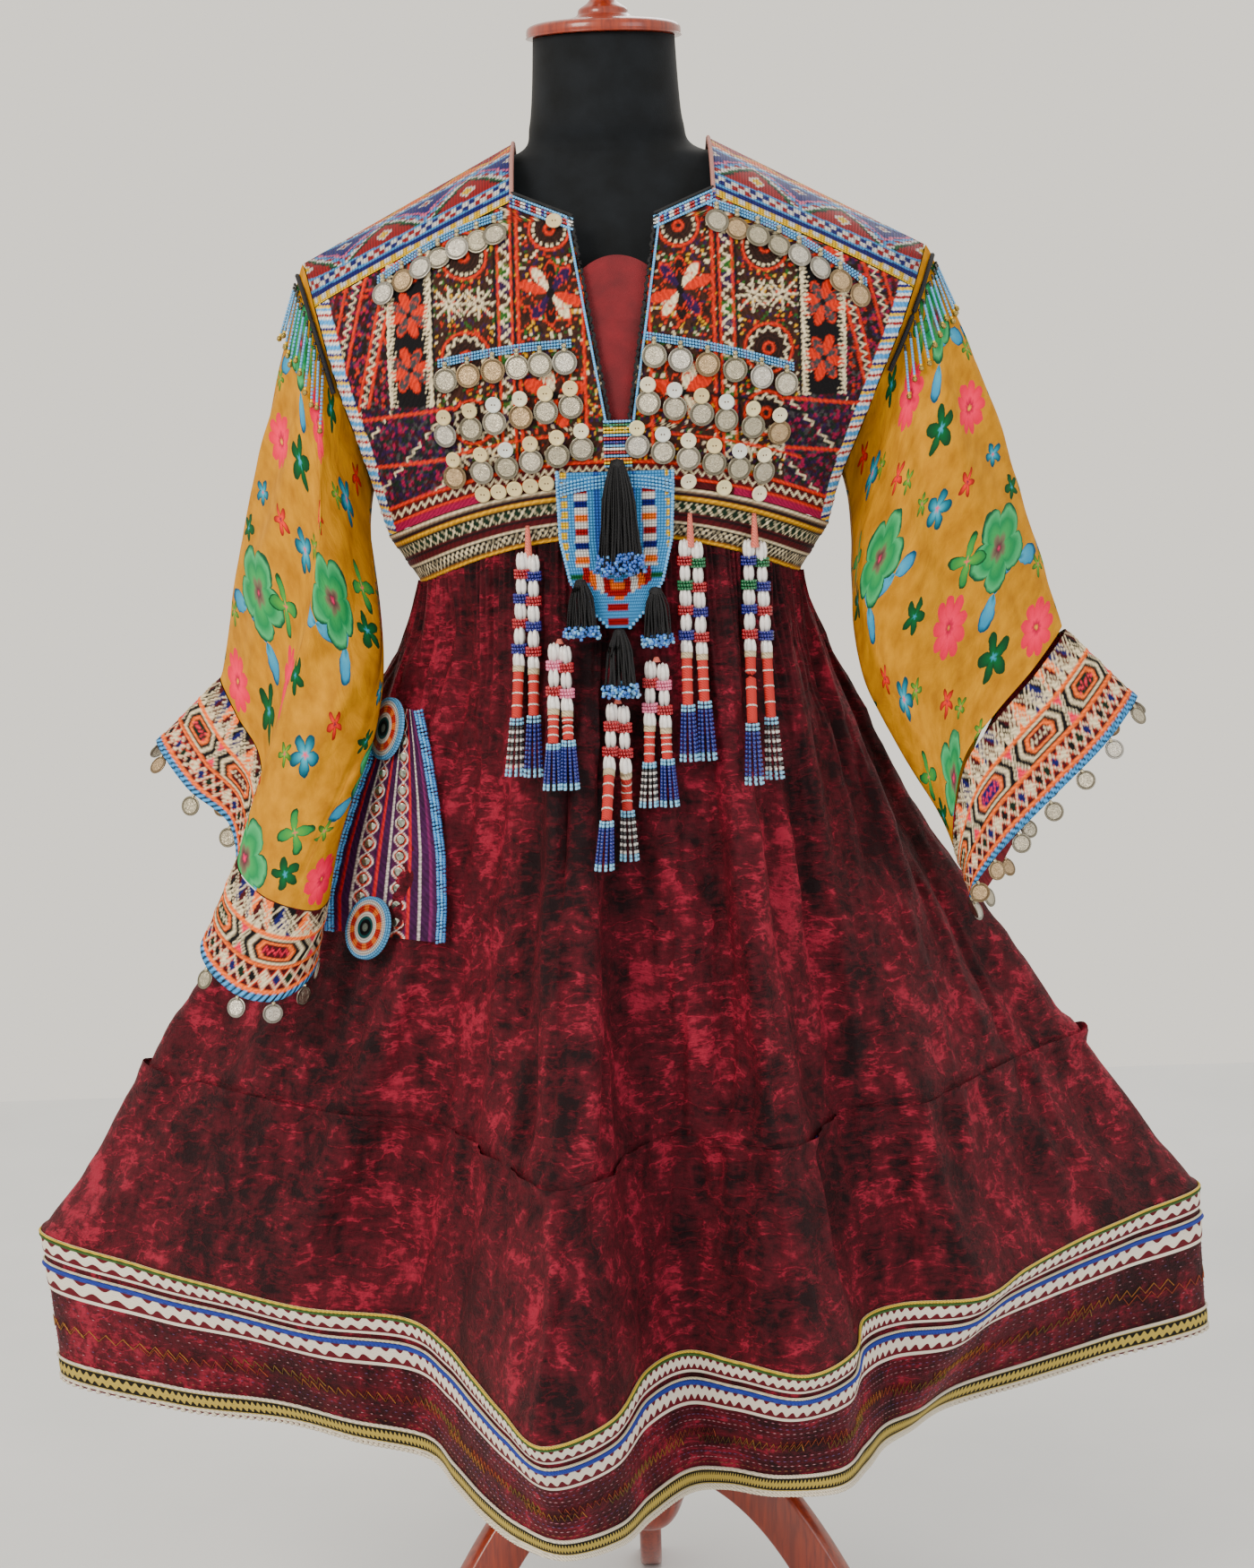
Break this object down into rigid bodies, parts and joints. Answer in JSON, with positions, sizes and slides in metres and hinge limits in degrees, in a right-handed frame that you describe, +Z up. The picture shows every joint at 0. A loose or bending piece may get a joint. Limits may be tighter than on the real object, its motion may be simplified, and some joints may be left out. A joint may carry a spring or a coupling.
{
  "type": "afghan dress on a dress form",
  "caption": "Embroidered velvet dress with flared printed sleeves, beadwork, coins and trimmed hem, worn on a limbless dress form with a turned cap and tripod stand.",
  "frame": {"origin": "on the floor, under the middle of the whole part", "axes": "+Z up, the dress faces -Y, +X towards the right of someone looking at its front"},
  "size_m": [0.9867, 0.8441, 1.456],
  "materials": {
    "velvet": "crushed velvet",
    "embroidery": "dense hand embroidery in couched cord",
    "beads": "sewn glass seed beads",
    "printed_cotton": "plain-weave printed cotton",
    "cuff_embroidery": "herringbone and couched embroidery",
    "ribbon": "woven braid",
    "coin": "worn white metal",
    "shell": "polished shell",
    "black_thread": "twisted cotton thread",
    "red_cotton": "plain cotton",
    "form_cloth": "stretched jersey",
    "lacquered_wood": "glossy orange lacquer"
  },
  "bodies": {
    "root": {"skirt_upper": "velvet", "skirt_tier": "velvet", "bodice_front": "embroidery", "bodice_back": "embroidery", "waistband": "embroidery", "patch": "embroidery", "shoulder_panel_left": "beads", "shoulder_panel_right": "beads", "medallion": "beads", "fringe_left": "beads", "fringe_right": "beads", "patch_disc_lower": "beads", "patch_disc_upper": "beads", "sleeve_left": "printed_cotton", "sleeve_right": "printed_cotton", "cuff_left": "cuff_embroidery", "cuff_right": "cuff_embroidery", "trim_upper": "ribbon", "trim_lower": "ribbon", "trim_hem": "ribbon", "cuff_coins_left": "coin", "cuff_coins_right": "coin", "shoulder_coins_left": "coin", "shoulder_coins_right": "coin", "coin_row_upper_left": "coin", "coin_row_upper_right": "coin", "coin_row_middle_left": "coin", "coin_row_middle_right": "coin", "coin_row_lower_left": "coin", "coin_row_lower_right": "coin", "waist_buttons_left": "shell", "waist_buttons_right": "shell", "bead_strands_1": "shell", "bead_strands_2": "shell", "bead_strands_3": "shell", "bead_strands_4": "shell", "bead_strands_5": "shell", "bead_strands_6": "shell", "neck_edge": "black_thread", "tassel_middle": "black_thread", "tassel_left": "black_thread", "tassel_right": "black_thread", "tassel_low": "black_thread", "placket": "red_cotton", "form_torso": "form_cloth", "neck_cap": "lacquered_wood", "stand_pole": "lacquered_wood", "stand_hub": "lacquered_wood", "stand_leg_1": "lacquered_wood", "stand_leg_2": "lacquered_wood", "stand_leg_3": "lacquered_wood"}
  },
  "joints": []
}
